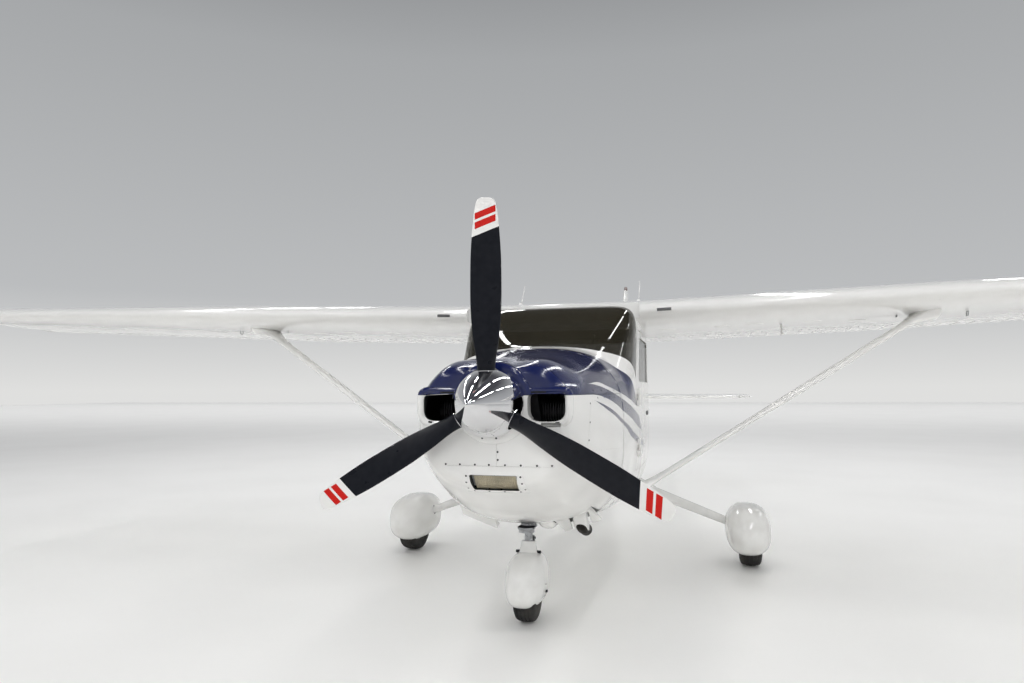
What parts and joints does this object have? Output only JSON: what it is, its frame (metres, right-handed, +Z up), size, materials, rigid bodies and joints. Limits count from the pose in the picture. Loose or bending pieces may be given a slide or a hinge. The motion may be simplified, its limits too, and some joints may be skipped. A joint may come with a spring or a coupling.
{
  "type": "single-engine light aircraft",
  "caption": "High-wing, strut-braced light aircraft on fixed tricycle gear with wheel fairings, a cowled nose engine and a constant-speed propeller with a polished spinner.",
  "frame": {"origin": "centre of the bounding box's underside, which is the ground under the parked aircraft", "axes": "+Z up, +X to the aircraft's port side, +Y aft along the fuselage, so that the nose points along -Y"},
  "size_m": [10.97, 8.84, 2.93],
  "materials": {
    "white_paint": "gloss white paint on aluminium skin",
    "navy_paint": "deep blue gloss paint on aluminium skin",
    "white_shell": "gloss white paint on moulded shells",
    "air_filter": "pleated filter paper",
    "engine_casting": "painted castings, standing for the whole engine",
    "exhaust_steel": "heat-dulled, sooty steel tube",
    "steel_sheet": "plain steel sheet",
    "leg_paint": "gloss white paint on spring steel",
    "bare_steel": "machined and plated steel",
    "tinted_glass": "smoke-tinted clear panel",
    "clear_glass": "lightly tinted clear panel",
    "panel_trim": "black crackle finish",
    "seat_leather": "tan and grey leather",
    "tyre_rubber": "worn tyre rubber",
    "rim_metal": "painted alloy wheel",
    "polished_spinner": "mirror-polished metal",
    "blade_paint": "satin black with white tips"
  },
  "bodies": {
    "airframe": {"cowl_upper": "navy_paint", "cowl_lower": "white_paint", "induction_filter": "air_filter", "engine_block": "engine_casting", "exhaust_tailpipe": "exhaust_steel", "firewall": "steel_sheet", "forward_fuselage": "white_paint", "cabin_floor": "white_paint", "cabin_roof": "white_paint", "aft_cabin": "white_paint", "tailcone": "white_paint", "windshield": "tinted_glass", "rear_window": "clear_glass", "instrument_panel": "panel_trim", "seat_rear": "seat_leather", "fin": "white_paint", "stabilizer": "white_paint", "rear_side_window_port": "clear_glass", "rear_side_window_starboard": "clear_glass", "seat_front_port": "seat_leather", "seat_front_starboard": "seat_leather", "wing_port": "white_paint", "wing_starboard": "white_paint", "strut_port": "white_paint", "strut_starboard": "white_paint", "main_leg_port": "leg_paint", "main_leg_starboard": "leg_paint", "main_fairing_port": "white_shell", "main_fairing_starboard": "white_shell", "nose_leg_barrel": "bare_steel"},
    "propeller": {"spinner": "polished_spinner", "prop_blade_1": "blade_paint", "prop_blade_2": "blade_paint", "prop_blade_3": "blade_paint"},
    "nose_steer": {"nose_fork": "bare_steel", "nose_fairing": "white_shell"},
    "nose_wheel": {"nose_tyre": "tyre_rubber", "nose_rim": "rim_metal"},
    "main_wheel_port": {"main_tyre_port": "tyre_rubber", "main_rim_port": "rim_metal"},
    "main_wheel_starboard": {"main_tyre_starboard": "tyre_rubber", "main_rim_starboard": "rim_metal"},
    "cabin_door_port": {"door_port": "white_paint", "door_window_port": "clear_glass"},
    "cabin_door_starboard": {"door_starboard": "white_paint", "door_window_starboard": "clear_glass"},
    "baggage_hatch": {"baggage_door": "white_paint"},
    "aileron_port": {"aileron_port": "white_paint"},
    "wing_flap_port": {"wing_flap_port": "white_paint"},
    "cowl_flap_port": {"cowl_flap_port": "white_paint"},
    "aileron_starboard": {"aileron_starboard": "white_paint"},
    "wing_flap_starboard": {"wing_flap_starboard": "white_paint"},
    "cowl_flap_starboard": {"cowl_flap_starboard": "white_paint"},
    "elevator": {"elevator": "white_paint"},
    "rudder": {"rudder": "white_paint"}
  },
  "joints": [
    {"name": "propeller_spin", "type": "hinge", "parent": "airframe", "child": "propeller", "pos_m": [0, -4.094, 1.293], "axis": [0, 1, 0], "continuous": true},
    {"name": "nose_steering", "type": "hinge", "parent": "airframe", "child": "nose_steer", "pos_m": [0, -3.202, 0.178], "axis": [0, 0.0872, 0.9962], "range_deg": [-29, 29]},
    {"name": "nose_wheel_spin", "type": "hinge", "parent": "nose_steer", "child": "nose_wheel", "pos_m": [0, -3.202, 0.178], "axis": [1, 0, 0], "continuous": true},
    {"name": "main_wheel_port_spin", "type": "hinge", "parent": "airframe", "child": "main_wheel_port", "pos_m": [1.372, -1.513, 0.212], "axis": [1, 0, 0], "continuous": true},
    {"name": "main_wheel_starboard_spin", "type": "hinge", "parent": "airframe", "child": "main_wheel_starboard", "pos_m": [-1.372, -1.513, 0.212], "axis": [1, 0, 0], "continuous": true},
    {"name": "cabin_door_port_hinge", "type": "hinge", "parent": "airframe", "child": "cabin_door_port", "pos_m": [0.612, -2.423, 1.15], "axis": [0, 0, -1], "range_deg": [0, 62]},
    {"name": "cabin_door_starboard_hinge", "type": "hinge", "parent": "airframe", "child": "cabin_door_starboard", "pos_m": [-0.612, -2.423, 1.15], "axis": [0, 0, 1], "range_deg": [0, 62]},
    {"name": "baggage_door_hinge", "type": "hinge", "parent": "airframe", "child": "baggage_hatch", "pos_m": [0.56295, -0.623, 1.15], "axis": [0, 0, -1], "range_deg": [0, 95]},
    {"name": "aileron_port_hinge", "type": "hinge", "parent": "airframe", "child": "aileron_port", "pos_m": [2.587, -1.143, 1.886], "axis": [0.9947, -0.0941, 0.0414], "range_deg": [-15, 20]},
    {"name": "aileron_starboard_hinge", "type": "hinge", "parent": "airframe", "child": "aileron_starboard", "pos_m": [-2.587, -1.143, 1.886], "axis": [0.9947, 0.0941, -0.0414], "range_deg": [-20, 15]},
    {"name": "wing_flap_port_hinge", "type": "hinge", "parent": "airframe", "child": "wing_flap_port", "pos_m": [1.59, -1.2374, 1.6219], "axis": [-0.9995, 0, -0.0332], "range_deg": [0, 38]},
    {"name": "wing_flap_starboard_hinge", "type": "hinge", "parent": "airframe", "child": "wing_flap_starboard", "pos_m": [-1.59, -1.2374, 1.6219], "axis": [-0.9995, 0, 0.0332], "range_deg": [0, 38]},
    {"name": "elevator_hinge", "type": "hinge", "parent": "airframe", "child": "elevator", "pos_m": [0, 3.6, 1.236], "axis": [1, 0, 0], "range_deg": [-17, 26]},
    {"name": "rudder_hinge", "type": "hinge", "parent": "airframe", "child": "rudder", "pos_m": [0, 3.718, 1.06], "axis": [0, 0.188, 0.9822], "range_deg": [-24, 24]},
    {"name": "cowl_flap_port_hinge", "type": "hinge", "parent": "airframe", "child": "cowl_flap_port", "pos_m": [0.28, -3.308, 0.657], "axis": [0.9397, 0, 0.342], "range_deg": [0, 15]},
    {"name": "cowl_flap_starboard_hinge", "type": "hinge", "parent": "airframe", "child": "cowl_flap_starboard", "pos_m": [-0.28, -3.308, 0.657], "axis": [0.9397, 0, -0.342], "range_deg": [0, 15]}
  ],
  "couplings": [
    {"joint": "aileron_starboard_hinge", "follows": "aileron_port_hinge", "ratio": -1},
    {"joint": "wing_flap_starboard_hinge", "follows": "wing_flap_port_hinge", "ratio": 1},
    {"joint": "cowl_flap_starboard_hinge", "follows": "cowl_flap_port_hinge", "ratio": 1}
  ]
}
